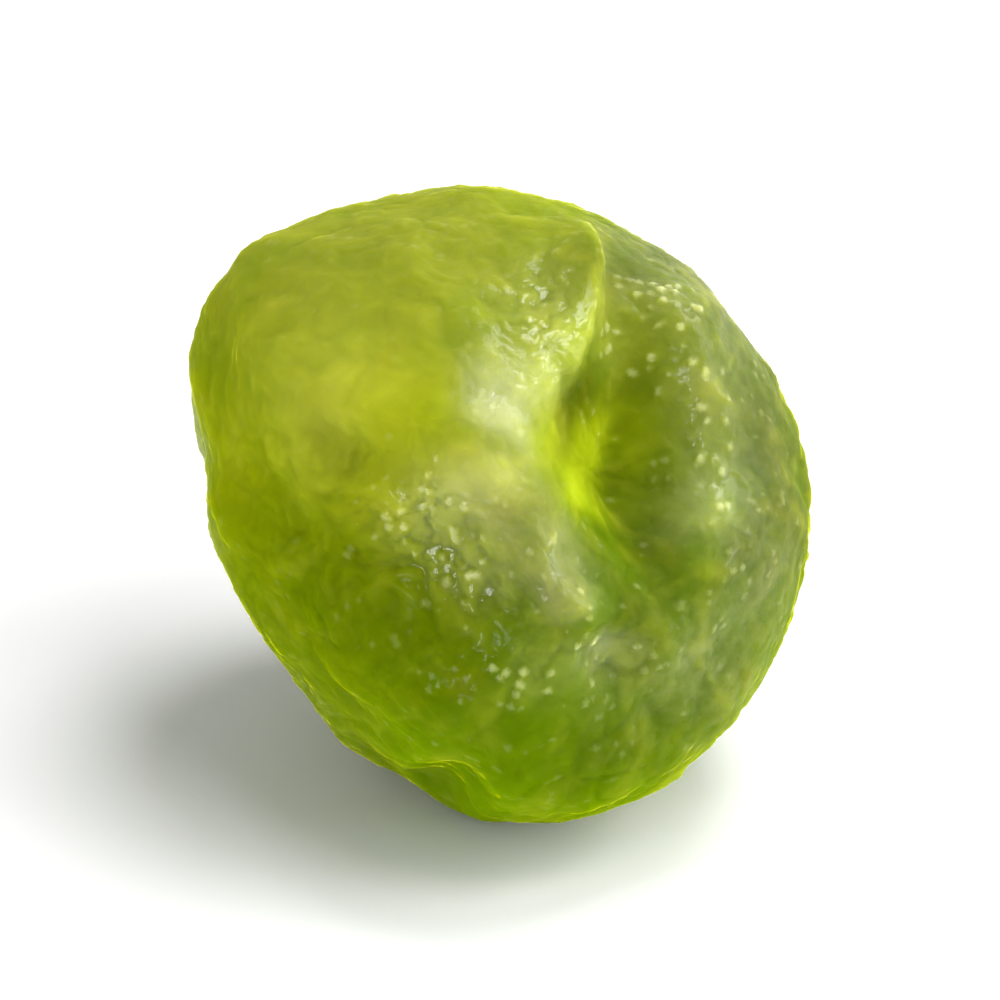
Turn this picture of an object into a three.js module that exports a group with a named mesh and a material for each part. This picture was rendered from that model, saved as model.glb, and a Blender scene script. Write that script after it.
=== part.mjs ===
// A pitted, candied green cherry: one solid piece of fruit, lying on a small flat spot.
// Millimetres, +Z up. The origin is on the surface it rests on, under the middle of its box.
//
// The fruit is shaped about its stem axis, with the pit hole at the pole, and is then tipped back so
// that the hole looks up and forward. A place on the skin is [turn, tilt] in degrees: turn goes round
// the stem axis, anticlockwise from the right cheek as the hole is faced, and tilt goes down from the
// hole to the blossom end at 180.

import * as THREE from 'three';
import { ImprovedNoise } from 'three/addons/math/ImprovedNoise.js';
import { mergeVertices } from 'three/addons/utils/BufferGeometryUtils.js';

// Driving dimensions, in millimetres
const HOLE_END_DEPTH = 8.7; // from the middle of the fruit to the skin at the hole, before it sinks
const BLOSSOM_END_DEPTH = 9.9; // from the middle of the fruit to the blossom end
const GIRTH = [9.9, 9.8, 9.8, 10.2, 10.8, 10.9, 8.9, 7.7, 8.8, 10.0, 10.1, 10.1]; // radius every 30 degrees
const MEAN_RADIUS = 9.8; // turns an angle on the skin into a distance along it
const FLAT_SPOT_SINK = 0.7; // how much of the underside the flat spot takes off
const SPOT_BULGE = 0.8; // how far the flesh spreads round the flat spot
const SPOT_BULGE_HEIGHT = 4; // how far up the fruit the spread reaches

// How the fruit lies, in degrees
const HOLE_LIFT = 38; // from level up to the hole
const HOLE_TURN = 11.5; // from straight ahead to the right
const HOLE_SPIN = -7; // roll about the stem axis

// Mesh
const SPHERE_DETAIL = 19;
const FRONT_CROWDING = 0.42; // how strongly the faces gather round the hole, 0 for evenly spread
const PATH_STEPS = 90;

// Broad swells and hollows: rise and radius in millimetres
const SWELLS = [
  { name: 'hollow that the pit left', at: [6, 24], rise: -2.2, radius: 3.0 },
  { name: 'pit hole', at: [0, 15], rise: -0.6, radius: 1.2 },
  { name: 'crown of the upper lobe', at: [141, 34], rise: 0.75, radius: 4.4 },
  { name: 'bridge from the lobe to the ridge', at: [168, 12], rise: 0.6, radius: 1.8 },
  { name: 'wrinkled dip', at: [-134, 33], rise: -1.0, radius: 2.8 },
  { name: 'lower lobe', at: [-98, 50], rise: 0.8, radius: 3.0 },
  { name: 'dip between the ridges', at: [-61, 46], rise: -0.4, radius: 1.4 },
  { name: 'blossom end', at: [20, 177], rise: -0.9, radius: 1.6 },
  { name: 'upper cheek behind', at: [75, 125], rise: 0.5, radius: 4.5 },
  { name: 'left cheek behind', at: [-172, 118], rise: 0.4, radius: 4.5 },
  { name: 'lower cheek behind', at: [-140, 128], rise: 1.1, radius: 5.2 },
  { name: 'right heel', at: [-38, 132], rise: 0.6, radius: 5.0 },
  { name: 'dent behind the right cheek', at: [20, 108], rise: -0.5, radius: 2.8 },
  { name: 'dent in the crown behind', at: [118, 112], rise: -0.4, radius: 2.4 },
];

// Folds of the skin, each along a path. rise is measured at the path, left and right are how far it
// spreads to either side, walking the path with the skin underfoot, lean slides the skin to the left,
// and fade is the share of the path over which it starts and ends.
const FOLDS = [
  { name: 'lip of the upper lobe', rise: 1.3, left: 0.8, right: 2.8, lean: 0.5, fade: [0.35, 0.25],
    path: [[76, 72], [76, 57], [74, 46], [72, 35], [74, 24], [81, 15], [97, 8]] },
  { name: 'valley', rise: -1.0, left: 1.6, right: 0.9, lean: 0, fade: [0.35, 0.3],
    path: [[73, 68], [66, 51], [51, 36], [24, 27], [-18, 26], [-37, 38], [-42, 53]] },
  { name: 'inner edge of the crescent', rise: 0.8, left: 3.2, right: 1.5, lean: 0.2, fade: [0.2, 0.2],
    path: [[64, 64], [56, 52], [40, 43], [16, 39], [-10, 37], [-32, 45], [-41, 58]] },
  { name: 'ridge across the hollow', rise: 1.05, left: 1.3, right: 1.9, lean: 0.1, fade: [0.25, 0.4],
    path: [[-166, 17], [-143, 12], [-98, 15], [-79, 27], [-72, 40], [-75, 53]] },
  { name: 'branch of the ridge', rise: 0.6, left: 1.3, right: 1.4, lean: 0.1, fade: [0.3, 0.3],
    path: [[-80, 23], [-66, 32], [-55, 43], [-47, 61]] },
  { name: 'left shoulder', rise: 0.45, left: 1.6, right: 0.7, lean: 0, fade: [0.15, 0.3],
    path: [[130, 92], [143, 76], [158, 60], [177, 55], [-160, 55], [-138, 63]] },
  { name: 'crease under the upper lobe', rise: -0.8, left: 1.0, right: 1.2, lean: 0, fade: [0.3, 0.3],
    path: [[166, 56], [170, 46], [175, 37], [177, 27], [176, 17]] },
  { name: 'notch in the lower lobe', rise: -1.0, left: 0.8, right: 0.8, lean: 0, fade: [0.2, 0.5],
    path: [[-97, 112], [-98, 92], [-99, 74], [-98, 60], [-94, 48]] },
  { name: 'suture', rise: -0.45, left: 1.0, right: 1.0, lean: 0, fade: [0.3, 0.15],
    path: [[-168, 96], [-164, 112], [-158, 132], [-148, 152], [-120, 172]] },
  { name: 'crease over the back', rise: -0.35, left: 0.8, right: 1.1, lean: 0, fade: [0.35, 0.35],
    path: [[52, 82], [66, 104], [70, 126], [92, 146]] },
  { name: 'crease behind the right cheek', rise: -0.3, left: 0.8, right: 0.8, lean: 0, fade: [0.35, 0.35],
    path: [[-30, 92], [-14, 112], [-12, 132], [10, 150]] },
  { name: 'crease over the crown', rise: -0.3, left: 0.8, right: 0.9, lean: 0, fade: [0.35, 0.35],
    path: [[118, 82], [134, 100], [140, 122], [160, 142]] },
];

// Slow unevenness of the whole fruit, in millimetres
const UNEVENNESS = [{ length: 9, height: 0.55 }, { length: 4, height: 0.22 }, { length: 2, height: 0.08 }];
const NOISE_GAIN = 1.6; // brings the noise to about -1 to 1
const FOLD_WANDER = { length: 5, amount: 0.35 }; // how far the folds stray from their drawn paths

// Near the hole the skin sinks along the stem axis, and elsewhere straight in.
const HOLE_END = { startsAt: 0.3, fullAt: 0.9, share: 0.75 }; // heights as parts of the radius

const STEM_AXIS = new THREE.Vector3(0, 0, 1);
const noise = new ImprovedNoise();
const radians = THREE.MathUtils.degToRad;
const degrees = THREE.MathUtils.radToDeg;
const smooth = THREE.MathUtils.smoothstep;

function direction([turn, tilt]) {
  const around = radians(turn);
  const down = radians(tilt);
  const sideways = Math.sin(down);
  return new THREE.Vector3(sideways * Math.cos(around), sideways * Math.sin(around), Math.cos(down));
}

// Bell curve: 1 at the middle, fading over about the spread.
function bell(distance, spread) {
  return Math.exp(-((distance / spread) ** 2));
}

// Radius of the cheeks at a turn about the stem axis, on a smooth closed curve through GIRTH.
function girthAt(turn) {
  const place = ((turn / (2 * Math.PI) + 1) % 1) * GIRTH.length;
  const before = Math.floor(place);
  const at = (step) => GIRTH[(before + step + GIRTH.length) % GIRTH.length];
  const t = place - before;
  const slopeHere = (at(1) - at(-1)) / 2;
  const slopeNext = (at(2) - at(0)) / 2;
  return at(0) * (2 * t ** 3 - 3 * t ** 2 + 1) + slopeHere * (t ** 3 - 2 * t ** 2 + t)
    + at(1) * (3 * t ** 2 - 2 * t ** 3) + slopeNext * (t ** 3 - t ** 2);
}

// The plain egg of the fruit, without hollows or folds.
function eggRadius(n) {
  const sideways = Math.hypot(n.x, n.y) / girthAt(Math.atan2(n.y, n.x));
  const lengthways = n.z / (n.z > 0 ? HOLE_END_DEPTH : BLOSSOM_END_DEPTH);
  return 1 / Math.hypot(sideways, lengthways);
}

// Waves of noise over the skin. Each seed gives waves of its own.
function waves(n, length, seed) {
  const scale = MEAN_RADIUS / length;
  return NOISE_GAIN * noise.noise(n.x * scale + seed, n.y * scale + seed * 2, n.z * scale - seed);
}

// A fold's path as evenly spaced unit vectors.
function tracePath(path) {
  const curve = new THREE.CatmullRomCurve3(path.map(direction), false, 'centripetal');
  return curve.getSpacedPoints(PATH_STEPS).map((point) => point.normalize());
}

// Where a direction lies against a fold: its distance to the left of the path, how far along it is
// from 0 to 1, and the direction to the left.
function locate(n, trace) {
  let nearest = 0;
  let closest = -1;
  trace.forEach((point, index) => {
    const closeness = point.dot(n);
    if (closeness > closest) [closest, nearest] = [closeness, index];
  });
  const ahead = trace[Math.min(nearest + 1, PATH_STEPS)].clone().sub(trace[Math.max(nearest - 1, 0)]);
  const left = n.clone().cross(ahead).normalize();
  const side = Math.sign(n.clone().sub(trace[nearest]).dot(left));
  const distance = side * Math.acos(Math.min(closest, 1)) * MEAN_RADIUS;
  return { distance, along: nearest / PATH_STEPS, left };
}

// How much a fold lifts the skin at a direction, and how far it slides it sideways.
function foldAt(n, fold) {
  const { distance, along, left } = locate(n, fold.trace);
  const fade = smooth(along, 0, fold.fade[0]) * (1 - smooth(along, 1 - fold.fade[1], 1));
  const strength = fade * bell(distance, distance > 0 ? fold.left : fold.right);
  return { rise: fold.rise * strength, slide: left.multiplyScalar(fold.lean * strength) };
}

function outward(n) {
  const nearHole = HOLE_END.share * smooth(n.z, HOLE_END.startsAt, HOLE_END.fullAt);
  return n.clone().lerp(STEM_AXIS, nearHole).normalize();
}

// A direction shifted a little over the skin, so that drawn folds come out uneven.
function stray(n) {
  const { length, amount } = FOLD_WANDER;
  const shift = new THREE.Vector3(waves(n, length, 11), waves(n, length, 23), waves(n, length, 37));
  return n.clone().addScaledVector(shift, amount / MEAN_RADIUS).normalize();
}

// The point of the skin in a direction from the middle of the fruit.
function skinPoint(n, folds) {
  const point = n.clone().multiplyScalar(eggRadius(n));
  const drawn = stray(n);
  let rise = 0;
  UNEVENNESS.forEach((wave, index) => {
    rise += wave.height * waves(n, wave.length, 3 + 7 * index);
  });
  for (const swell of SWELLS) {
    rise += swell.rise * bell(drawn.angleTo(direction(swell.at)) * MEAN_RADIUS, swell.radius);
  }
  for (const fold of folds) {
    const bend = foldAt(drawn, fold);
    rise += bend.rise;
    point.add(bend.slide);
  }
  return point.addScaledVector(outward(n), rise);
}

// A ball of even triangles, drawn towards the hole where the skin folds most, then shaped as the skin.
function skinGeometry() {
  const folds = FOLDS.map((fold) => ({ ...fold, trace: tracePath(fold.path) }));
  const ball = new THREE.IcosahedronGeometry(1, SPHERE_DETAIL);
  ball.deleteAttribute('normal');
  ball.deleteAttribute('uv');
  const geometry = mergeVertices(ball, 1e-5);
  const position = geometry.getAttribute('position');
  for (let index = 0; index < position.count; index += 1) {
    const even = new THREE.Vector3().fromBufferAttribute(position, index).normalize();
    const tilt = Math.acos(even.z);
    const crowded = tilt - FRONT_CROWDING * Math.sin(tilt);
    const point = skinPoint(direction([degrees(Math.atan2(even.y, even.x)), degrees(crowded)]), folds);
    position.setXYZ(index, point.x, point.y, point.z);
  }
  return geometry;
}

// Tips the fruit to how it lies.
function tip(geometry) {
  const lie = new THREE.Matrix4().makeRotationZ(radians(HOLE_TURN))
    .multiply(new THREE.Matrix4().makeRotationX(radians(90 - HOLE_LIFT)))
    .multiply(new THREE.Matrix4().makeRotationZ(radians(HOLE_SPIN)));
  geometry.applyMatrix4(lie);
}

// Presses the underside flat, and stands the fruit on it over the origin.
function settle(geometry) {
  geometry.computeBoundingBox();
  const floor = geometry.boundingBox.min.z + FLAT_SPOT_SINK;
  const position = geometry.getAttribute('position');
  for (let index = 0; index < position.count; index += 1) {
    const height = position.getZ(index) - floor;
    const spread = 1 + (SPOT_BULGE / MEAN_RADIUS) * bell(height, SPOT_BULGE_HEIGHT);
    position.setXYZ(index, position.getX(index) * spread, position.getY(index) * spread, Math.max(height, 0));
  }
  geometry.computeBoundingBox();
  const middle = geometry.boundingBox.getCenter(new THREE.Vector3());
  geometry.translate(-middle.x, -middle.y, 0);
}

function makeFruit() {
  const geometry = skinGeometry();
  tip(geometry);
  settle(geometry);
  geometry.computeVertexNormals();
  const material = new THREE.MeshStandardMaterial({ color: '#84902a', roughness: 0.4, metalness: 0 });
  const fruit = new THREE.Mesh(geometry, material);
  fruit.name = 'cherry';
  return fruit;
}

const cherry = new THREE.Group();
cherry.add(makeFruit());

export default cherry;
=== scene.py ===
# A pitted, candied green cherry on a plain pale floor, in soft studio light.
# Blender 4.5. Metres and +Z up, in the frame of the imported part.

import math
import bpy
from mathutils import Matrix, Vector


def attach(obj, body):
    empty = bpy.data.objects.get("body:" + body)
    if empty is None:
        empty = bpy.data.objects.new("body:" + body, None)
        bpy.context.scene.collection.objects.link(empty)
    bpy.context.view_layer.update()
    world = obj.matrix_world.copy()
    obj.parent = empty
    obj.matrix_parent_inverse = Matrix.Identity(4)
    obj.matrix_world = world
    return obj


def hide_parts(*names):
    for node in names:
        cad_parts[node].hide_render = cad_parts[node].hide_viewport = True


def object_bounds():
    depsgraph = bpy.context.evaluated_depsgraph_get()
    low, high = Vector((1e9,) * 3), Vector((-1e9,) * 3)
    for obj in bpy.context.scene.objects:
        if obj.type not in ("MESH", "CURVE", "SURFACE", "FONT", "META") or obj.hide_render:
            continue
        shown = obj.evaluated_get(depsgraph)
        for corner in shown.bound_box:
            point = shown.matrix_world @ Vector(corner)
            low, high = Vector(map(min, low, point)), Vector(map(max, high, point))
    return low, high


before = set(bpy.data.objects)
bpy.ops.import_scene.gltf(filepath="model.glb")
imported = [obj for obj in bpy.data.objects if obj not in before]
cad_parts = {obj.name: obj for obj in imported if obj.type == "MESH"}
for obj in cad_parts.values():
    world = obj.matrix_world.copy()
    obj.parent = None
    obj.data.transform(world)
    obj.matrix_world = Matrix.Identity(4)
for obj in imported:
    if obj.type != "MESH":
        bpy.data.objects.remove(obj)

from types import SimpleNamespace

import bmesh
import bpy
from mathutils import Matrix, Vector
from mathutils.bvhtree import BVHTree

MM = 0.001
SOLID_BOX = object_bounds()

# ---------------------------------------------------------------------------------------------------
# Places on the fruit: [turn, tilt] in degrees, as the part has them. Turn goes round the stem axis,
# anticlockwise from the right cheek, and tilt goes down from the pit hole to the blossom end at 180.

# How the fruit lies, in degrees: from level up to the hole, from straight ahead to the right, and the
# roll about the stem axis. Directions start from its middle.
HOLE_LIFT = 38
HOLE_TURN = 11.5
HOLE_SPIN = -7
MIDDLE = Vector((-0.24, -0.24, 9.87)) * MM
LIE = (Matrix.Rotation(math.radians(HOLE_TURN), 3, "Z")
       @ Matrix.Rotation(math.radians(90 - HOLE_LIFT), 3, "X")
       @ Matrix.Rotation(math.radians(HOLE_SPIN), 3, "Z"))

HOLLOW = (6, 22)
BLOSSOM_END = (20, 177)


def direction(place):
    """The way from the middle of the fruit out to a place."""
    turn, tilt = (math.radians(angle) for angle in place)
    level = math.sin(tilt)
    return LIE @ Vector((level * math.cos(turn), level * math.sin(turn), math.cos(tilt)))


# ---------------------------------------------------------------------------------------------------
# Tints and feel of the skin

def screen(red, green, blue):
    """A linear colour from 0 to 255 screen values, by the standard screen curve."""
    def undo(value):
        value /= 255
        return value / 12.92 if value <= 0.04045 else ((value + 0.055) / 1.055) ** 2.4
    return (undo(red), undo(green), undo(blue))


# Zones of the skin: place, radius in millimetres, tint, and how frosted, wet, wrinkled and specked.
# Many tints hold painted light and shade, as marked below, and the frosted share also lays a painted
# sheen over the tint.
ZONES = {
    "upper lobe": ((138, 42), 4.4, screen(134, 140, 32), 0.05, 0.16, 0.5, 0.0),
    # Painted glow: the bright yellow lobe low and lobe hem tints stand for light shining through the
    # lobe's flesh.
    "lobe low": ((162, 44), 2.0, screen(230, 227, 86), 0.1, 0.1, 0.4, 0.0),
    "lobe hem": ((169, 31), 1.8, screen(200, 206, 0), 0.0, 0.0, 0.4, 0.0),
    "lobe back": ((118, 65), 4.2, screen(138, 139, 50), 0.2, 0.1, 0.8, 0.1),
    # Painted highlights: the pale lobe edge, lobe corner, lip edge and lip end tints stand for the
    # lamps' glints and the lit rim of the lip.
    "lobe edge": ((85, 32), 2.0, screen(164, 166, 72), 0.4, 1.0, 1.4, 0.6),
    "lobe corner": ((114, 14), 1.15, screen(236, 236, 176), 1.0, 1.0, 0.9, 0.2),
    "lip edge": ((68, 27), 0.75, screen(194, 203, 86), 0.3, 0.8, 0.6, 0.2),
    "lip end": ((84, 17), 0.8, screen(206, 214, 110), 0.4, 1.0, 0.6, 0.2),
    # Painted shade: the dark lip line tints stand for the shadow along the lip's edge.
    "lip line": ((67, 44), 1.4, screen(60, 72, 0), 0.0, 0.05, 0.5, 0.0),
    "lip line low": ((58, 30), 1.2, screen(64, 76, 0), 0.0, 0.1, 0.5, 0.0),
    "under the lobe": ((-180, 34), 1.4, screen(144, 152, 8), 0.0, 0.2, 0.8, 0.1),
    # Painted shade and highlights: the dark saddle and saddle shade tints stand for shade in its
    # groove, and the pale saddle and saddle foot tints for its sheen and glints.
    "saddle": ((160, 10), 1.1, screen(94, 94, 0), 0.0, 0.0, 0.7, 0.1),
    "pale saddle": ((-150, 11), 1.1, screen(204, 206, 116), 0.4, 0.4, 0.8, 0.1),
    "saddle shade": ((-95, 8), 0.8, screen(90, 94, 16), 0.2, 0.2, 0.5, 0.0),
    "saddle foot": ((-142, 14), 0.95, screen(200, 200, 122), 0.5, 0.4, 0.7, 0.2),
    "hole rim": ((66, 8), 0.8, screen(168, 180, 24), 0.1, 0.2, 0.5, 0.0),
    # Painted shade: the near-black hollow neck, hollow neck top, hollow shade and hollow step tints
    # stand for the shadow deep in the pit hole.
    "hollow neck": ((46, 23), 1.3, screen(16, 24, 0), 0.0, 0.0, 0.5, 0.0),
    "hollow neck top": ((54, 27), 1.0, screen(44, 54, 0), 0.0, 0.0, 0.5, 0.0),
    "hollow shade": ((39, 31), 0.9, screen(50, 60, 0), 0.0, 0.0, 0.5, 0.2),
    "hollow step": ((-20, 27), 1.15, screen(4, 10, 0), 0.0, 0.0, 0.5, 0.0),
    # Painted light: the bright spot tints stand for light shining through thin flesh in the pit hole,
    # and the bright valley top and hollow core tints lift the hollow's shade.
    "bright spot": ((2, 19), 1.25, screen(164, 180, 16), 0.0, 0.3, 0.3, 0.0),
    "valley top": ((49, 43), 1.2, screen(186, 194, 44), 0.3, 0.2, 0.9, 1.4),
    "bright spot low": ((-22, 16), 0.7, screen(170, 188, 26), 0.0, 0.2, 0.4, 0.0),
    "hollow core": ((24, 39), 1.5, screen(216, 232, 4), 0.0, 0.15, 0.7, 0.9),
    "hollow": ((-8, 36), 1.6, screen(92, 110, 0), 0.0, 0.05, 0.6, 0.1),
    "hollow foot": ((-28, 39), 1.5, screen(108, 130, 0), 0.0, 0.0, 0.7, 0.3),
    # Painted shade: the dark ridge wall tint stands for the shadow on the hollow's side of the ridge.
    "ridge wall": ((-31, 33), 1.3, screen(24, 34, 0), 0.05, 0.2, 0.7, 0.1),
    # Painted sheen: the grey, bluish cast of the crescent tints down to crescent foot, palest on the
    # hollow wall, crescent lip and inner crescent, stands for the window's soft reflection on frosted
    # skin.
    "crescent shoulder": ((33, 49), 1.1, screen(72, 76, 50), 0.5, 0.2, 0.6, 0.4),
    "hollow wall": ((20, 42), 1.45, screen(184, 190, 100), 0.6, 0.7, 1.0, 1.3),
    "crescent lip": ((50, 50), 1.3, screen(140, 142, 96), 0.7, 0.7, 1.0, 1.2),
    "inner crescent": ((-4, 40), 1.3, screen(208, 216, 144), 0.9, 0.7, 1.0, 1.2),
    "crescent": ((10, 55), 2.9, screen(76, 78, 50), 0.36, 0.2, 0.5, 0.2),
    "crescent top": ((44, 66), 3.4, screen(86, 84, 64), 0.5, 0.2, 0.5, 0.2),
    "crescent bank": ((-2, 47), 1.1, screen(36, 38, 18), 0.4, 0.2, 0.6, 0.4),
    "crescent shade": ((-18, 47), 1.1, screen(52, 58, 22), 0.4, 0.2, 0.6, 0.4),
    "crescent low": ((-20, 55), 2.8, screen(92, 96, 56), 0.45, 0.3, 0.6, 0.3),
    "crescent foot": ((-52, 54), 2.4, screen(104, 116, 42), 0.8, 0.6, 1.0, 0.3),
    # Painted shade: the dark right cheek and lower right tints stand for shade on the fruit's right
    # and lower right side.
    "right cheek": ((5, 84), 4.5, screen(48, 55, 0), 0.1, 0.1, 1.0, 0.1),
    "right low": ((-36, 66), 2.8, screen(80, 92, 26), 0.4, 0.2, 0.9, 0.2),
    "lower right": ((-66, 62), 2.4, screen(50, 66, 0), 0.1, 0.1, 0.9, 0.1),
    # Painted sheen: the pale grey ridge, ridge crest and ridge end tints stand for the soft reflection
    # along the ridge's top, over frost.
    "ridge": ((-114, 12), 1.4, screen(130, 130, 84), 0.45, 0.4, 0.45, 0.1),
    "ridge crest": ((-77, 20), 1.2, screen(126, 126, 84), 0.6, 0.5, 0.6, 0.2),
    "ridge end": ((-74, 25), 0.85, screen(138, 138, 98), 0.6, 0.5, 0.8, 0.6),
    # Painted shade: the near-black ridge notch and dark ridge low tints stand for shadow where the
    # ridge meets the hollow.
    "ridge notch": ((-57, 36), 0.8, screen(0, 4, 0), 0.0, 0.0, 0.8, 0.2),
    "ridge low": ((-52, 38), 1.9, screen(24, 34, 20), 0.05, 0.1, 0.8, 0.2),
    # Painted glints: the pale ridge foot and ridge glint tints stand for a cluster of glints on wet
    # wrinkles, among the sugar specks.
    "ridge foot": ((-67, 43), 0.9, screen(130, 136, 74), 0.6, 1.0, 1.6, 2.2),
    "ridge glint": ((-63, 40), 0.55, screen(232, 236, 168), 0.5, 1.0, 1.4, 2.4),
    "dip foot": ((-118, 28), 1.0, screen(164, 170, 66), 0.3, 0.7, 1.3, 1.4),
    "lobe flank": ((-86, 41), 1.1, screen(150, 160, 62), 0.3, 0.5, 1.2, 1.3),
    "lobe crest": ((-107, 44), 1.1, screen(100, 118, 0), 0.0, 0.5, 1.0, 1.2),
    "wrinkled dip": ((-150, 30), 2.2, screen(168, 173, 4), 0.1, 0.8, 1.4, 1.0),
    # Painted glints: the pale dip top tint stands for glints on its wet wrinkles, among the sugar
    # specks.
    "dip top": ((-159, 24), 1.4, screen(204, 206, 102), 0.6, 1.0, 1.3, 1.6),
    "lower lobe": ((-96, 56), 3.8, screen(78, 104, 0), 0.0, 0.25, 0.9, 0.2),
    "bottom": ((-88, 88), 4.5, screen(98, 130, 0), 0.0, 0.05, 0.8, 0.0),
    "left side": ((172, 64), 3.8, screen(142, 150, 0), 0.0, 0.0, 0.9, 0.0),
    "left below": ((-150, 64), 4.0, screen(94, 110, 0), 0.0, 0.05, 1.0, 0.1),
    "crown behind": ((104, 104), 4.0, screen(138, 146, 20), 0.3, 0.5, 1.1, 0.3),
    "right shoulder behind": ((42, 112), 3.4, screen(108, 118, 34), 0.7, 0.4, 1.0, 0.4),
    "back": ((84, 140), 3.6, screen(128, 142, 0), 0.1, 0.5, 1.2, 0.2),
    "left shoulder behind": ((172, 116), 3.6, screen(122, 136, 4), 0.1, 0.6, 1.3, 0.4),
    "left heel": ((-130, 124), 3.6, screen(110, 126, 10), 0.4, 0.4, 1.1, 0.2),
    "right heel": ((-40, 128), 4.0, screen(100, 122, 4), 0.3, 0.3, 1.0, 0.1),
    "blossom end": (BLOSSOM_END, 2.6, screen(112, 104, 10), 0.2, 0.2, 1.0, 0.1),
}

# The skin away from the zones: tint, and how frosted, wet, wrinkled and specked, where frosted also
# lays a painted sheen. It has a small weight everywhere, where a zone has a weight of 1 at its centre.
REST_OF_SKIN = (screen(112, 130, 0), 0.15, 0.2, 1.0, 0.05)
REST_WEIGHT = 0.22

# Tints laid over the zones' own, and how much of each shows at most.
CLOUD, CLOUD_SHOWS = screen(88, 120, 0), 0.22
FIBRE, FIBRE_SHOWS = screen(206, 206, 60), 0.14
# Painted glow: a lighter yellow where the flesh is thin, standing for light shining through it.
THIN_FLESH_GLOW, THIN_FLESH_GLOW_SHOWS = screen(184, 200, 6), 0.08
AMBER, AMBER_SHOWS = screen(160, 146, 6), 0.15
# Sugar crystals on the pimples, pale under any lamp, which also stand for painted glints on the wet
# skin.
CRYSTAL_AND_GLINT, CRYSTAL_AND_GLINT_SHOWS = screen(232, 234, 172), 0.5
# Painted shade: darker tints in the furrows between leather crests and in the sunken grooves.
FURROW_SHADE, FURROW_SHADE_SHOWS = screen(74, 90, 0), 0.55
GROOVE_SHADE, GROOVE_SHADE_SHOWS = screen(92, 124, 0), 0.22
# A pale tint over frosted skin: partly sugar bloom, partly painted sheen standing for the lamps' soft
# reflection.
FROST_AND_SHEEN, FROST_AND_SHEEN_SHOWS = screen(204, 206, 134), 0.14

# ---------------------------------------------------------------------------------------------------
# Sizes of the skin's relief, in millimetres

RELIEF = {
    "Long wrinkle depth": 0.16,
    "Long wrinkle spacing": 1.4,
    "Shrivel depth": 0.2,
    "Shrivel spacing": 2.6,
    "Leather depth": 0.08,
    "Leather spacing": 0.6,
    "Pleat depth": 0.24,
    "Pleat spacing": 0.8,
    "Pimple depth": 0.14,
    "Pimple spacing": 0.5,
    "Flat spot margin": 1.2,
}
SUBDIVISIONS = 2

# How far zones, long wrinkles and shrivelling stray from their even places.
ZONE_STRAY = 2.4
WRINKLE_STRAY = 3.0
SHRIVEL_STRAY = 4.0

# How much more of the skin a clump of pimples covers where it is more specked.
CLUMPS_GROW = 0.13

# Long wrinkles run out from the hollow like spokes: how wide they start, how much wider they spread,
# and how much they change on the way.
SPOKE_START = 1.8
SPOKE_SPREAD = 6.5
SPOKE_CHANGE = 2.2

# Pleats lie level: wider sideways than the even wrinkles, and closer together upwards.
LEVEL_PLEATS = (0.5, 0.5, 1.5)

# How much flesh lies under the skin where the painted glow of light through thin flesh starts, and
# where it is strongest.
THIN = 5.0
THINNEST = 1.0


# ---------------------------------------------------------------------------------------------------
# Node trees, written as calls. Each call adds a node and gives back its output.

FLOAT = "NodeSocketFloat"
INTEGER = "NodeSocketInt"
VECTOR = "NodeSocketVector"
GEOMETRY = "NodeSocketGeometry"


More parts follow.
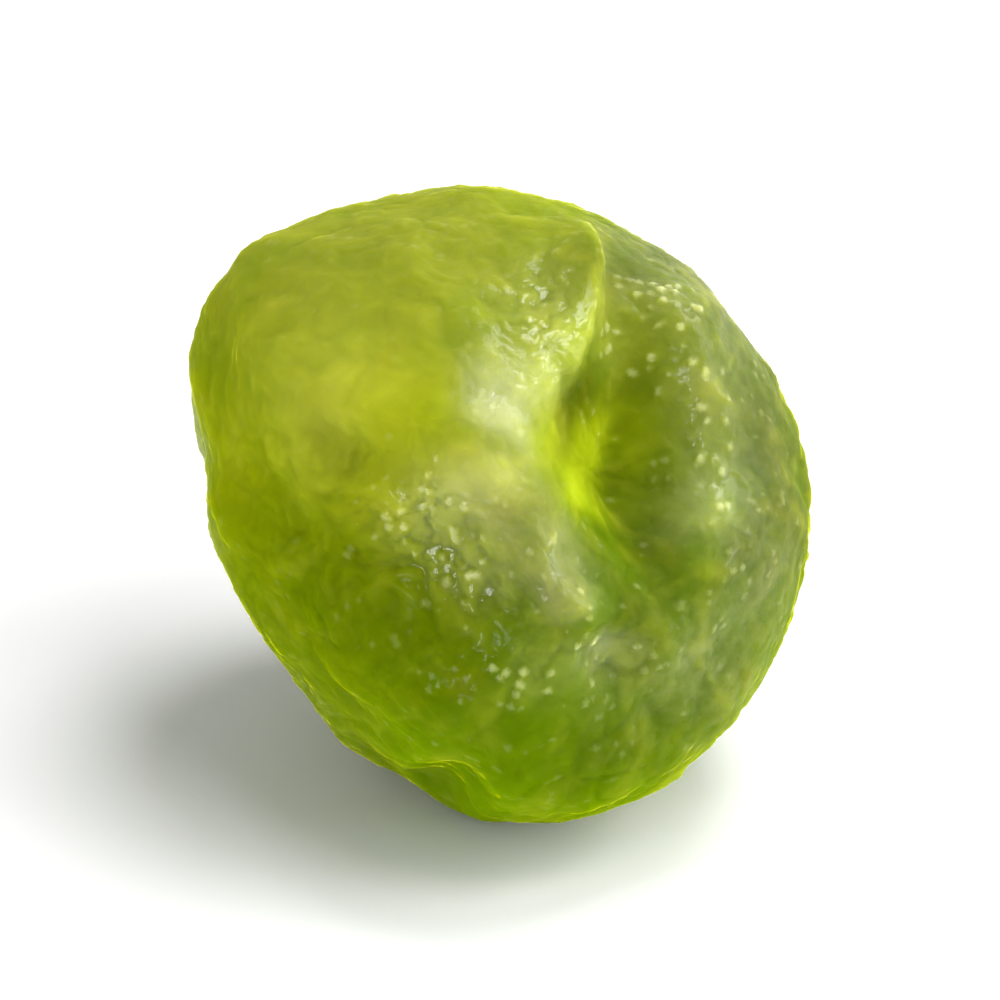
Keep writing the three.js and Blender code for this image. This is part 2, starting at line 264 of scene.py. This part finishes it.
class Wiring:
    def __init__(self, tree):
        self.tree = tree

    def feed(self, socket, value):
        if isinstance(value, bpy.types.NodeSocket):
            self.tree.links.new(value, socket)
        elif value is not None:
            socket.default_value = value

    def add(self, kind, inputs=None, output=0, **settings):
        node = self.tree.nodes.new(kind)
        for name, value in settings.items():
            setattr(node, name, value)
        for key, value in (inputs or {}).items():
            self.feed(node.inputs[key], value)
        return node.outputs[output]

    def math(self, operation, *values):
        return self.add("ShaderNodeMath", dict(enumerate(values)), operation=operation)

    def vector(self, operation, *values, output=0):
        inputs = dict(enumerate(values))
        return self.add("ShaderNodeVectorMath", inputs, output=output, operation=operation)

    def scale(self, vector, factor):
        return self.add("ShaderNodeVectorMath", {"Vector": vector, "Scale": factor}, operation="SCALE")

    def dot(self, a, b):
        return self.vector("DOT_PRODUCT", a, b, output="Value")

    def join(self, x, y, z):
        return self.add("ShaderNodeCombineXYZ", {0: x, 1: y, 2: z})

    def split(self, vector):
        return tuple(self.add("ShaderNodeSeparateXYZ", {0: vector}).node.outputs)

    def ramp(self, value, low, high, start=0.0, end=1.0):
        """Eases from start to end while the value goes from low to high."""
        inputs = {"Value": value, "From Min": low, "From Max": high, "To Min": start, "To Max": end}
        return self.add("ShaderNodeMapRange", inputs, interpolation_type="SMOOTHSTEP")

    def mix(self, factor, a, b, data_type="FLOAT"):
        """Goes from a to b while the factor goes from 0 to 1."""
        node = self.tree.nodes.new("ShaderNodeMix")
        node.data_type = data_type
        kind = {"FLOAT": "VALUE", "RGBA": "RGBA"}[data_type]
        self.feed(node.inputs[0], factor)
        for key, value in {"A": a, "B": b}.items():
            self.feed(next(s for s in node.inputs if s.name == key and s.type == kind), value)
        return next(s for s in node.outputs if s.type == kind)

    def lay_over(self, tint, colour, share):
        """The tint with a share of another colour over it."""
        return self.mix(share, tint, colour + (1.0,), "RGBA")

    def noise(self, vector, scale, detail=0.0, roughness=0.5, output="Fac"):
        inputs = {"Vector": vector, "Scale": scale, "Detail": detail, "Roughness": roughness}
        return self.add("ShaderNodeTexNoise", inputs, output=output)

    def cells(self, vector, scale, smoothness):
        """Distance to the nearest of many scattered points."""
        inputs = {"Vector": vector, "Scale": scale, "Smoothness": smoothness}
        return self.add("ShaderNodeTexVoronoi", inputs, output="Distance", feature="SMOOTH_F1")

    def call(self, group, inputs):
        node = self.tree.nodes.new("GeometryNodeGroup")
        node.node_tree = group
        for key, value in inputs.items():
            self.feed(node.inputs[key], value)
        return node.outputs


def new_group(name, inputs, outputs):
    """A Geometry Nodes group with named sockets, its wiring, and what goes in and what comes out."""
    group = bpy.data.node_groups.new(name, "GeometryNodeTree")
    for label, socket, value in inputs:
        made = group.interface.new_socket(label, in_out="INPUT", socket_type=socket)
        if value is not None:
            made.default_value = value
    for label, socket in outputs:
        group.interface.new_socket(label, in_out="OUTPUT", socket_type=socket)
    entry = group.nodes.new("NodeGroupInput")
    leave = group.nodes.new("NodeGroupOutput")
    return group, Wiring(group), entry.outputs, leave.inputs


# ---------------------------------------------------------------------------------------------------
# Skin relief: subdivides the fruit, wrinkles it and keeps what the finish reads.

def zone_group():
    """Adds one zone's tint and feel to the sums, by a weight that falls off round its centre."""
    inputs = [("Place", VECTOR, None), ("Centre", VECTOR, None), ("Radius", FLOAT, 1.0),
              ("Tint", VECTOR, None), ("Feel", VECTOR, None), ("Specks", FLOAT, 0.0),
              ("Tint so far", VECTOR, None), ("Feel so far", VECTOR, None),
              ("Specks so far", FLOAT, 0.0), ("Weight so far", FLOAT, 0.0)]
    outputs = [("Tint", VECTOR), ("Feel", VECTOR), ("Specks", FLOAT), ("Weight", FLOAT)]
    group, w, source, sink = new_group("zone", inputs, outputs)
    away = w.vector("DISTANCE", source["Place"], source["Centre"], output="Value")
    away = w.math("DIVIDE", away, source["Radius"])
    weight = w.math("EXPONENT", w.math("MULTIPLY", w.math("MULTIPLY", away, away), -1.0))
    for name in ("Tint", "Feel"):
        w.feed(sink[name], w.vector("ADD", source[name + " so far"], w.scale(source[name], weight)))
    w.feed(sink["Specks"], w.math("MULTIPLY_ADD", source["Specks"], weight, source["Specks so far"]))
    w.feed(sink["Weight"], w.math("ADD", source["Weight so far"], weight))
    return group


def billow_group():
    """Rounded wrinkles with narrow grooves between them: 0 in a groove, about 1 on a crest."""
    inputs = [("Place", VECTOR, None), ("Spacing", FLOAT, 1.0), ("Detail", FLOAT, 1.0),
              ("Waves per spacing", FLOAT, 0.62), ("Steepness", FLOAT, 4.4), ("Roundness", FLOAT, 0.8)]
    group, w, source, sink = new_group("billow", inputs, [("Height", FLOAT)])
    scale = w.math("DIVIDE", source["Waves per spacing"], source["Spacing"])
    noise = w.noise(source["Place"], scale, source["Detail"])
    fold = w.math("MULTIPLY", source["Steepness"], -0.5)
    height = w.math("ABSOLUTE", w.math("MULTIPLY_ADD", noise, source["Steepness"], fold))
    w.feed(sink["Height"], w.math("MINIMUM", w.math("POWER", height, source["Roundness"]), 1.0))
    return group


def feel_zones(w, place, on_skin):
    """Each place's tint, and how frosted, wet, wrinkled and specked it is, from the zones round it.
    Frosted also lays a painted sheen.
    """
    zone = zone_group()
    tint, frosted, wet, wrinkled, specked = REST_OF_SKIN
    sums = {"Tint": tuple(c * REST_WEIGHT for c in tint),
            "Feel": tuple(c * REST_WEIGHT for c in (frosted, wet, wrinkled)),
            "Specks": specked * REST_WEIGHT, "Weight": REST_WEIGHT}
    for spot, radius, tint, frosted, wet, wrinkled, specked in ZONES.values():
        inputs = {"Place": place, "Centre": on_skin(spot) / MM, "Radius": radius, "Tint": tint,
                  "Feel": (frosted, wet, wrinkled), "Specks": specked}
        inputs.update({name + " so far": value for name, value in sums.items()})
        outputs = w.call(zone, inputs)
        sums = {name: outputs[name] for name in sums}
    share = w.math("DIVIDE", 1.0, sums["Weight"])
    tint = w.scale(sums["Tint"], share)
    frosted, wet, wrinkled = w.split(w.scale(sums["Feel"], share))
    return tint, frosted, wet, wrinkled, w.math("MULTIPLY", sums["Specks"], share)


def spokes_from_hollow(w, place, drift):
    """Places turned and stretched, so that wrinkles laid on them run out from the hollow."""
    pole = direction(HOLLOW)
    side = pole.orthogonal().normalized()
    unit = w.vector("NORMALIZE", w.vector("SUBTRACT", place, tuple(MIDDLE / MM)))
    across = w.dot(unit, tuple(side))
    along = w.dot(unit, tuple(pole.cross(side)))
    tilt = w.math("ARCCOSINE", w.dot(unit, tuple(pole)))
    flat = w.vector("NORMALIZE", w.join(across, along, 0.0))
    reach = w.math("MULTIPLY_ADD", w.math("SINE", tilt), SPOKE_SPREAD, SPOKE_START)
    outward = w.join(0.0, 0.0, w.math("MULTIPLY", tilt, SPOKE_CHANGE))
    spokes = w.vector("ADD", w.scale(flat, reach), outward)
    return w.vector("ADD", spokes, w.scale(drift, WRINKLE_STRAY))


def wrinkle(w, skin, source):
    """Gives the skin its leather, pimples and height. Crests stay level, and what is between sinks."""
    billow = billow_group()
    astray = w.vector("ADD", skin.place, w.scale(skin.drift, SHRIVEL_STRAY))
    level = w.vector("MULTIPLY", astray, LEVEL_PLEATS)
    patchy = w.ramp(w.noise(skin.place, scale=0.25, detail=1.0), low=0.38, high=0.62, start=0.25)

    def sink_by(kind, crest, strength):
        sunk = w.math("MULTIPLY", w.math("SUBTRACT", crest, 1.0), source[kind + " depth"])
        return w.math("MULTIPLY", sunk, strength)

    # Wrinkles of each kind: the places they are laid on, their fine detail and their strength.
    kinds = {
        "Long wrinkle": (skin.spokes, 1.0, w.math("MULTIPLY", skin.wrinkled, patchy)),
        "Shrivel": (astray, 1.0, skin.wrinkled),
        "Leather": (astray, 2.0, w.math("MULTIPLY_ADD", skin.wrinkled, 0.6, 0.4)),
        "Pleat": (level, 1.0, w.ramp(skin.specked, 1.1, 1.6)),
    }
    crests = {}
    height = 0.0
    for kind, (place, detail, strength) in kinds.items():
        inputs = {"Place": place, "Spacing": source[kind + " spacing"], "Detail": detail}
        crests[kind] = w.call(billow, inputs)["Height"]
        height = w.math("ADD", height, sink_by(kind, crests[kind], strength))
    skin.leather = crests["Leather"]

    # Pimples sit in clumps, closer together where the skin is more specked.
    cell = w.cells(skin.place, w.math("DIVIDE", 1.0, source["Pimple spacing"]), smoothness=0.4)
    clump = w.noise(skin.place, scale=1.1, detail=1.0)
    clump = w.math("MULTIPLY_ADD", skin.specked, CLUMPS_GROW, clump)
    skin.pimple = w.math("MULTIPLY", w.ramp(cell, 0.5, 0.15), w.ramp(clump, 0.45, 0.62))
    skin.pimpled = w.math("MAXIMUM", skin.specked, w.math("MULTIPLY", skin.frosted, 0.6))
    height = w.math("ADD", height, sink_by("Pimple", skin.pimple, skin.pimpled))

    above = w.split(skin.place)[2]
    skin.height = w.math("MULTIPLY", height, w.ramp(above, 0.0, source["Flat spot margin"]))


def thin_flesh(w, geometry, metres, normal):
    """1 where the flesh under the skin is thinnest, 0 where it is thick."""
    just_inside = w.vector("SUBTRACT", metres, w.scale(normal, 0.03 * MM))
    ray = {"Target Geometry": geometry, "Source Position": just_inside,
           "Ray Direction": w.scale(normal, -1.0), "Ray Length": 9 * MM}
    hit = w.add("GeometryNodeRaycast", ray).node.outputs
    thickness = w.math("DIVIDE", hit["Hit Distance"], MM)
    return w.math("MULTIPLY", w.ramp(thickness, THIN, THINNEST), hit["Is Hit"])


def tint_flesh(w, skin):
    """The zones' tint with clouds, pale fibres along the wrinkles, a painted glow where the flesh is
    thin, amber patches, pale sugar crystals on the pimples that also stand for painted glints, and
    painted shade in the furrows and grooves."""
    cloudy = w.noise(skin.place, scale=0.28, detail=3.0, roughness=0.6)
    tint = w.lay_over(skin.tint, CLOUD, w.ramp(cloudy, 0.3, 0.7, start=CLOUD_SHOWS, end=0.0))
    fibrous = w.noise(skin.spokes, scale=0.9, detail=2.0)
    tint = w.lay_over(tint, FIBRE, w.ramp(fibrous, 0.45, 0.8, end=FIBRE_SHOWS))
    # Painted glow where the flesh is thin.
    tint = w.lay_over(tint, THIN_FLESH_GLOW, w.math("MULTIPLY", skin.thin, THIN_FLESH_GLOW_SHOWS))
    amber = w.noise(skin.place, scale=0.42, detail=2.0)
    tint = w.lay_over(tint, AMBER, w.ramp(amber, 0.56, 0.8, end=AMBER_SHOWS))
    # Pale pimple tops: sugar crystals, and painted glints.
    crystal_and_glint = w.ramp(skin.pimple, 0.5, 1.0, end=CRYSTAL_AND_GLINT_SHOWS)
    tint = w.lay_over(tint, CRYSTAL_AND_GLINT, w.math("MULTIPLY", crystal_and_glint, skin.pimpled))
    # Painted shade in the furrows and in the grooves.
    furrow_shade = w.ramp(skin.leather, 0.5, 0.0, end=FURROW_SHADE_SHOWS)
    tint = w.lay_over(tint, FURROW_SHADE, w.math("MULTIPLY", furrow_shade, w.ramp(skin.wrinkled, 0.85, 1.35)))
    return w.lay_over(tint, GROOVE_SHADE, w.ramp(skin.height, -0.06, -0.32, end=GROOVE_SHADE_SHOWS))


def skin_relief_group(material, on_skin):
    inputs = [("Geometry", GEOMETRY, None), ("Subdivisions", INTEGER, 1)]
    inputs += [(label, FLOAT, size) for label, size in RELIEF.items()]
    group, w, source, sink = new_group("skin_relief", inputs, [("Geometry", GEOMETRY)])

    def change(geometry, kind, inputs):
        return w.add("GeometryNode" + kind, {"Geometry": geometry, **inputs})

    def keep(geometry, name, value, data_type="FLOAT"):
        inputs = {"Geometry": geometry, "Name": name, "Value": value}
        return w.add("GeometryNodeStoreNamedAttribute", inputs, data_type=data_type, domain="POINT")

    smooth = {"Mesh": source["Geometry"], "Level": source["Subdivisions"]}
    geometry = w.add("GeometryNodeSubdivisionSurface", smooth)
    metres = w.add("GeometryNodeInputPosition")
    normal = w.add("GeometryNodeInputNormal")

    skin = SimpleNamespace(place=w.scale(metres, 1 / MM))
    swirl = w.noise(skin.place, scale=0.3, detail=2.0, output="Color")
    skin.drift = w.vector("SUBTRACT", swirl, (0.5, 0.5, 0.5))
    astray = w.vector("ADD", skin.place, w.scale(skin.drift, ZONE_STRAY))
    skin.tint, skin.frosted, skin.wet, skin.wrinkled, skin.specked = feel_zones(w, astray, on_skin)
    skin.spokes = spokes_from_hollow(w, skin.place, skin.drift)
    wrinkle(w, skin, source)
    skin.thin = thin_flesh(w, geometry, metres, normal)

    geometry = keep(geometry, "tint", tint_flesh(w, skin), "FLOAT_COLOR")
    geometry = keep(geometry, "frost", skin.frosted)
    geometry = keep(geometry, "wet", skin.wet)

    offset = w.scale(normal, w.math("MULTIPLY", skin.height, MM))
    geometry = change(geometry, "SetPosition", {"Offset": offset})
    x, y, z = w.split(metres)
    on_floor = w.join(x, y, w.math("MAXIMUM", z, 0.0))
    geometry = change(geometry, "SetPosition", {"Position": on_floor})
    geometry = change(geometry, "SetShadeSmooth", {"Shade Smooth": True})
    geometry = change(geometry, "RealizeInstances", {})
    geometry = change(geometry, "SetMaterial", {"Material": material})
    w.feed(sink["Geometry"], geometry)
    return group


SAME_PLACE = 0.002 * MM


def merged_copy(node, name):
    """A copy of a CAD node's mesh whose loose triangles are joined."""
    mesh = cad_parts[node].data.copy()
    mesh.name = name
    work = bmesh.new()
    work.from_mesh(mesh)
    bmesh.ops.remove_doubles(work, verts=work.verts, dist=SAME_PLACE)
    work.to_mesh(mesh)
    work.free()
    for layer in list(mesh.attributes):
        if layer.name.startswith("custom_normal"):
            mesh.attributes.remove(layer)
    mesh.materials.clear()
    return mesh


def skin_finder(mesh):
    """Gives a function that finds the outermost point of the skin at a place."""
    work = bmesh.new()
    work.from_mesh(mesh)
    tree = BVHTree.FromBMesh(work)
    work.free()
    well_outside = 30 * MM

    def on_skin(place):
        outward = direction(place)
        return tree.ray_cast(MIDDLE + outward * well_outside, -outward)[0]

    return on_skin


def bake_modifier(piece, group, values):
    """Runs a Geometry Nodes tree over the piece and leaves a plain mesh."""
    modifier = piece.modifiers.new(group.name, "NODES")
    modifier.node_group = group
    for item in group.interface.items_tree:
        if item.item_type == "SOCKET" and item.in_out == "INPUT" and item.name in values:
            modifier[item.identifier] = values[item.name]
    bpy.context.view_layer.update()
    evaluated = piece.evaluated_get(bpy.context.evaluated_depsgraph_get())
    finished = bpy.data.meshes.new_from_object(evaluated)
    piece.modifiers.remove(modifier)
    piece.data = finished


# ---------------------------------------------------------------------------------------------------
# Finishes, with depths in millimetres

LIGHT_DEPTH = 3.0
LIGHT_SPREAD = (1.1, 1.1, 0.2)  # of red, green and blue light
SYRUP_IOR = 1.45
MOIST_ROUGHNESS = 0.42
FROSTED_ROUGHNESS = 0.5
CREASE_DEPTH = 0.02
FROSTED_CREASE_DEPTH = 0.045
DULLEST_COAT = 0.008
GLOSSIEST_COAT = 0.9
COAT_ROUGHNESS = 0.15


def plain_material(name):
    """A new material, the wiring of its tree, its shader, and the places on its piece in metres."""
    material = bpy.data.materials.new(name)
    material.use_nodes = True
    w = Wiring(material.node_tree)
    shader = material.node_tree.nodes["Principled BSDF"]
    return material, w, shader, w.add("ShaderNodeTexCoord", output="Object")


def translucent(shader):
    """Lets light wander through the flesh, blue light the least."""
    shader.inputs["Subsurface Weight"].default_value = 1.0
    shader.inputs["Subsurface Radius"].default_value = LIGHT_SPREAD
    shader.inputs["Subsurface Scale"].default_value = LIGHT_DEPTH * MM
    shader.inputs["IOR"].default_value = SYRUP_IOR


def candied_skin():
    material, w, shader, metres = plain_material("candied_skin")

    def mask(name):
        return w.add("ShaderNodeAttribute", output="Fac", attribute_name=name)

    tint = w.add("ShaderNodeAttribute", output="Color", attribute_name="tint")
    mottle = w.noise(w.scale(metres, 1 / MM), scale=1.9, detail=3.0, roughness=0.55)
    # Mottled over the frost mask: a pale tint that is partly sugar bloom, partly painted sheen.
    frosted = w.math("MULTIPLY", mask("frost"), w.ramp(mottle, 0.34, 0.68))
    tint = w.lay_over(tint, FROST_AND_SHEEN, w.math("MULTIPLY", frosted, FROST_AND_SHEEN_SHOWS))
    w.feed(shader.inputs["Base Color"], tint)
    w.feed(shader.inputs["Roughness"], w.mix(frosted, MOIST_ROUGHNESS, FROSTED_ROUGHNESS))

    # A fine net of creases, deeper where the skin is frosted.
    net = w.math("ABSOLUTE", w.math("MULTIPLY_ADD", mottle, 2.0, -1.0))
    crease = w.math("MULTIPLY", net, w.mix(mask("frost"), CREASE_DEPTH, FROSTED_CREASE_DEPTH))
    normal = w.add("ShaderNodeBump", {"Height": crease, "Strength": 1.0, "Distance": MM})
    w.feed(shader.inputs["Normal"], normal)
    w.feed(shader.inputs["Coat Normal"], normal)

    glossy = w.math("MAXIMUM", mask("wet"), mask("frost"))
    coat = w.ramp(glossy, low=0.17, high=0.9, start=DULLEST_COAT, end=GLOSSIEST_COAT)
    w.feed(shader.inputs["Coat Weight"], coat)
    shader.inputs["Coat Roughness"].default_value = COAT_ROUGHNESS
    shader.inputs["Specular IOR Level"].default_value = 0.0
    translucent(shader)
    return material


# ---------------------------------------------------------------------------------------------------
# The fruit

def make_cherry():
    mesh = merged_copy("cherry", "candied_cherry")
    on_skin = skin_finder(mesh)
    cherry = bpy.data.objects.new("candied_cherry", mesh)
    bpy.context.scene.collection.objects.link(cherry)
    relief = skin_relief_group(candied_skin(), on_skin)
    bake_modifier(cherry, relief, {"Subdivisions": SUBDIVISIONS})
    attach(cherry, "root")
    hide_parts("cherry")


# ---------------------------------------------------------------------------------------------------
# Studio, in metres, watts and degrees

WHITE = (1.0, 1.0, 1.0, 1.0)
PAPER = (0.92, 0.92, 0.92, 1.0)
PAPER_ROUGHNESS = 0.9
FLOOR_REACH = 2.0
FLOOR_FADE = (0.03, 0.12)  # from the middle, where the paper turns white

# The surroundings' strength as light, and overhead as they are seen, where 1 is white.
SKYLIGHT = 0.4
OVERHEAD = 0.25

CAMERA_LIFT = 30
CAMERA_DISTANCE = 0.352
CAMERA_LENS = 400  # millimetres

# Round lamps: place, width and watts. All face the fruit.
LAMPS = {
    "window": ((0.26, -0.05, 0.17), 0.24, 0.66),
    "top": ((0.08, 0.04, 0.30), 0.14, 0.5),
    "fill": ((-0.21, -0.20, 0.06), 0.07, 0.25),
    "low": ((0.24, -0.09, 0.05), 0.05, 0.14),
    "brow": ((0.10, -0.12, 0.29), 0.12, 0.25),
}
LAMPS_FACE = Vector((0, 0, 0.01))


def place_facing(name, data, position, towards):
    """Puts a camera or a lamp in the scene, turned so that it looks the given way."""
    piece = bpy.data.objects.new(name, data)
    piece.location = position
    piece.rotation_euler = towards.to_track_quat("-Z", "Y").to_euler()
    bpy.context.scene.collection.objects.link(piece)
    return piece


def seen(w):
    """1 for what the camera sees, straight, in a reflection or through a piece, 0 for the rest."""
    path = w.tree.nodes.new("ShaderNodeLightPath").outputs
    mirrored = w.math("MAXIMUM", path["Is Camera Ray"], path["Is Glossy Ray"])
    return w.math("MAXIMUM", mirrored, path["Is Transmission Ray"])


def pale_floor():
    """Paper under the fruit, which takes its shadow and fades to white round about."""
    mesh = bpy.data.meshes.new("floor")
    corners = [(x * FLOOR_REACH, y * FLOOR_REACH, 0) for x, y in ((-1, -1), (1, -1), (1, 1), (-1, 1))]
    mesh.from_pydata(corners, [], [(0, 1, 2, 3)])
    floor = bpy.data.objects.new("floor", mesh)
    bpy.context.scene.collection.objects.link(floor)
    material, w, shader, metres = plain_material("floor_paper")
    shader.inputs["Base Color"].default_value = PAPER
    shader.inputs["Roughness"].default_value = PAPER_ROUGHNESS
    shader.inputs["Specular IOR Level"].default_value = 0.0
    away = w.vector("LENGTH", metres, output="Value")
    fade = w.math("MULTIPLY", seen(w), w.ramp(away, *FLOOR_FADE))
    white = w.add("ShaderNodeEmission", {"Color": WHITE})
    mixed = w.add("ShaderNodeMixShader", {0: fade, 1: shader.outputs[0], 2: white})
    w.feed(w.tree.nodes["Material Output"].inputs["Surface"], mixed)
    mesh.materials.append(material)


def surroundings():
    """White at the horizon, which is all that the camera sees of it, and dimmer overhead."""
    world = bpy.data.worlds.new("studio")
    bpy.context.scene.world = world
    world.use_nodes = True
    w = Wiring(world.node_tree)
    background = w.tree.nodes["Background"]
    up = w.split(w.add("ShaderNodeTexCoord", output="Generated"))[2]
    backdrop = w.ramp(up, low=0.1, high=0.3, start=1.0, end=OVERHEAD)
    background.inputs["Color"].default_value = WHITE
    w.feed(background.inputs["Strength"], w.mix(seen(w), SKYLIGHT, backdrop))


def camera(low, high):
    """Looks down at the fruit from the side of the pit hole, with a long lens."""
    lift = math.radians(CAMERA_LIFT)
    back = Vector((0, -math.cos(lift), math.sin(lift)))
    data = bpy.data.cameras.new("camera")
    data.lens = CAMERA_LENS
    data.clip_start = 0.01
    centre = (low + high) / 2
    bpy.context.scene.camera = place_facing("camera", data, centre + back * CAMERA_DISTANCE, -back)


def soft_light(name, position, width, watts):
    light = bpy.data.lights.new(name, "AREA")
    light.shape = "DISK"
    light.size = width
    light.energy = watts
    lamp = place_facing(name, light, position, LAMPS_FACE - Vector(position))
    lamp.visible_camera = False


camera(*SOLID_BOX)
make_cherry()
pale_floor()
surroundings()
for name, (position, width, watts) in LAMPS.items():
    soft_light(name, position, width, watts)
bpy.context.scene.view_settings.view_transform = "Standard"
